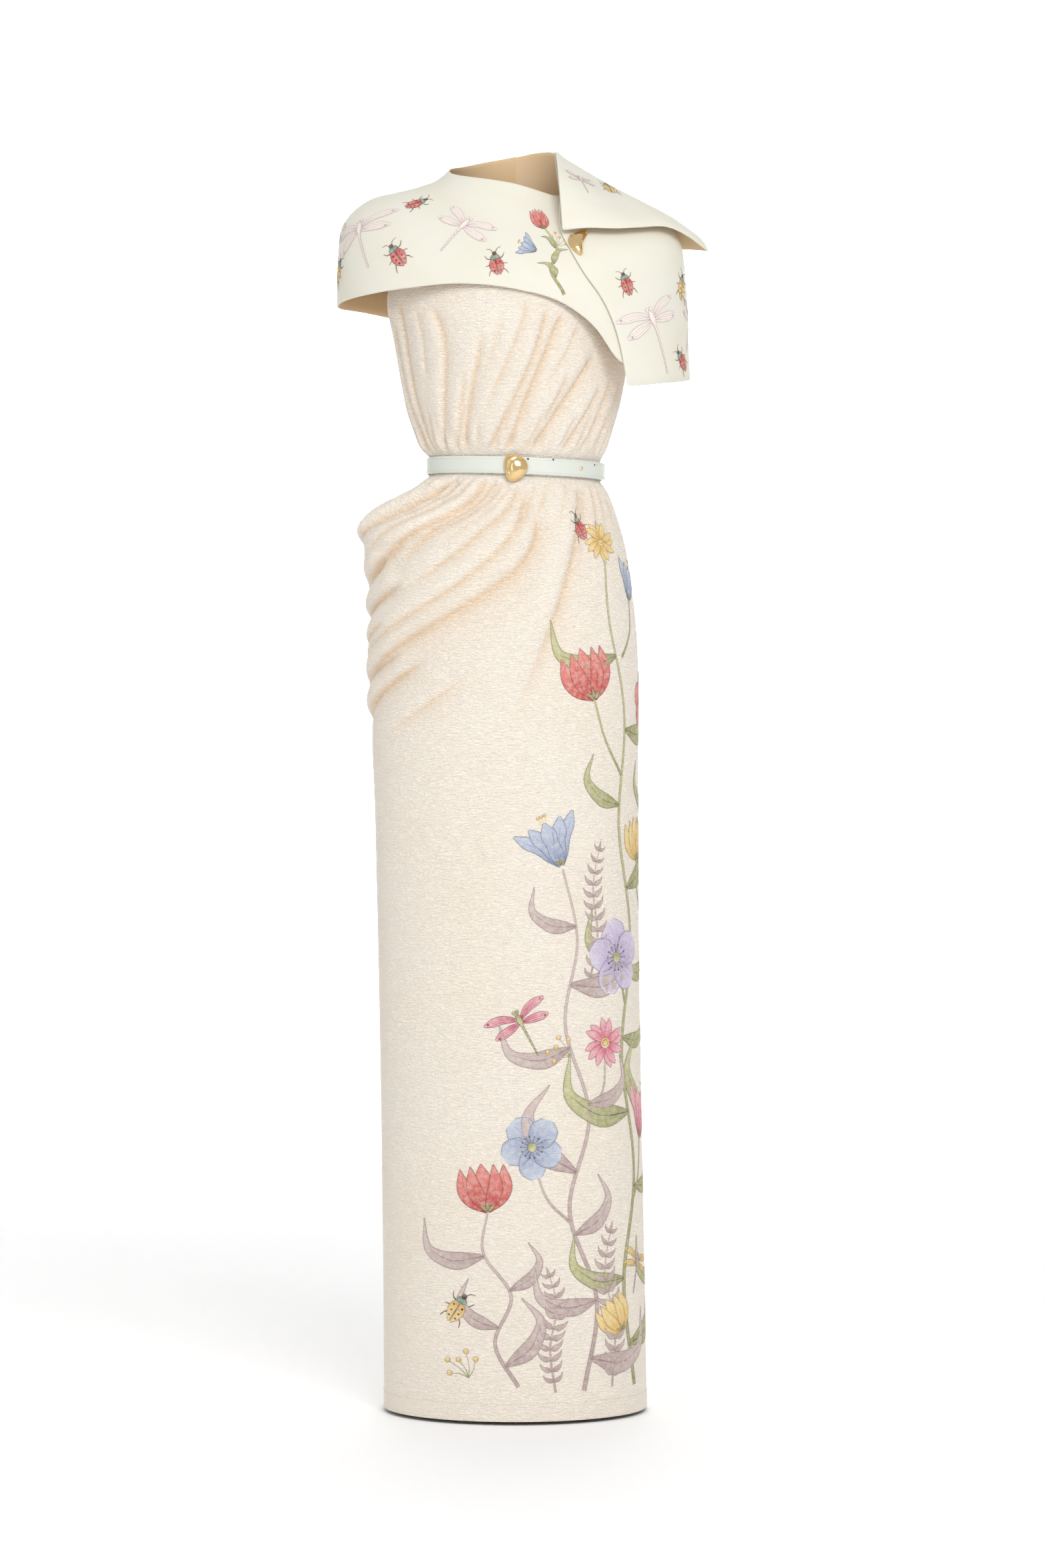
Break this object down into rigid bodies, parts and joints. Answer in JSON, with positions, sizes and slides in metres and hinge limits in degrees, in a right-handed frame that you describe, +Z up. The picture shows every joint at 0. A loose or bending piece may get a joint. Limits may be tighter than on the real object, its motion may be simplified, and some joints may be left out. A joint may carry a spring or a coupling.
{
  "type": "evening dress",
  "caption": "Floor-length draped crepe evening dress with a wrap cape collar, turned lapel, narrow leather belt, gold buckle and brooch, kept filled out as worn",
  "frame": {"origin": "at the base of the neck between the shoulders, where the wearer carries the dress", "axes": "+Z up along the length, the front faces -Y, the wearer's left is +X"},
  "size_m": [0.4457, 0.2644, 1.5129],
  "materials": {
    "crepe": "matt crinkled cream crepe",
    "ivory_twill": "smooth ivory twill, softly matt",
    "pale_leather": "pale leather with an edge stitch",
    "polished_gold": "polished gold plate"
  },
  "bodies": {
    "root": {"bodice_front": "crepe", "bodice_back": "crepe", "skirt_front": "crepe", "skirt_back": "crepe", "cape_wrap": "ivory_twill", "cape_left": "ivory_twill", "collar_lapel": "ivory_twill", "belt_strap": "pale_leather", "belt_buckle": "polished_gold", "belt_stud": "polished_gold", "brooch": "polished_gold"}
  },
  "joints": []
}
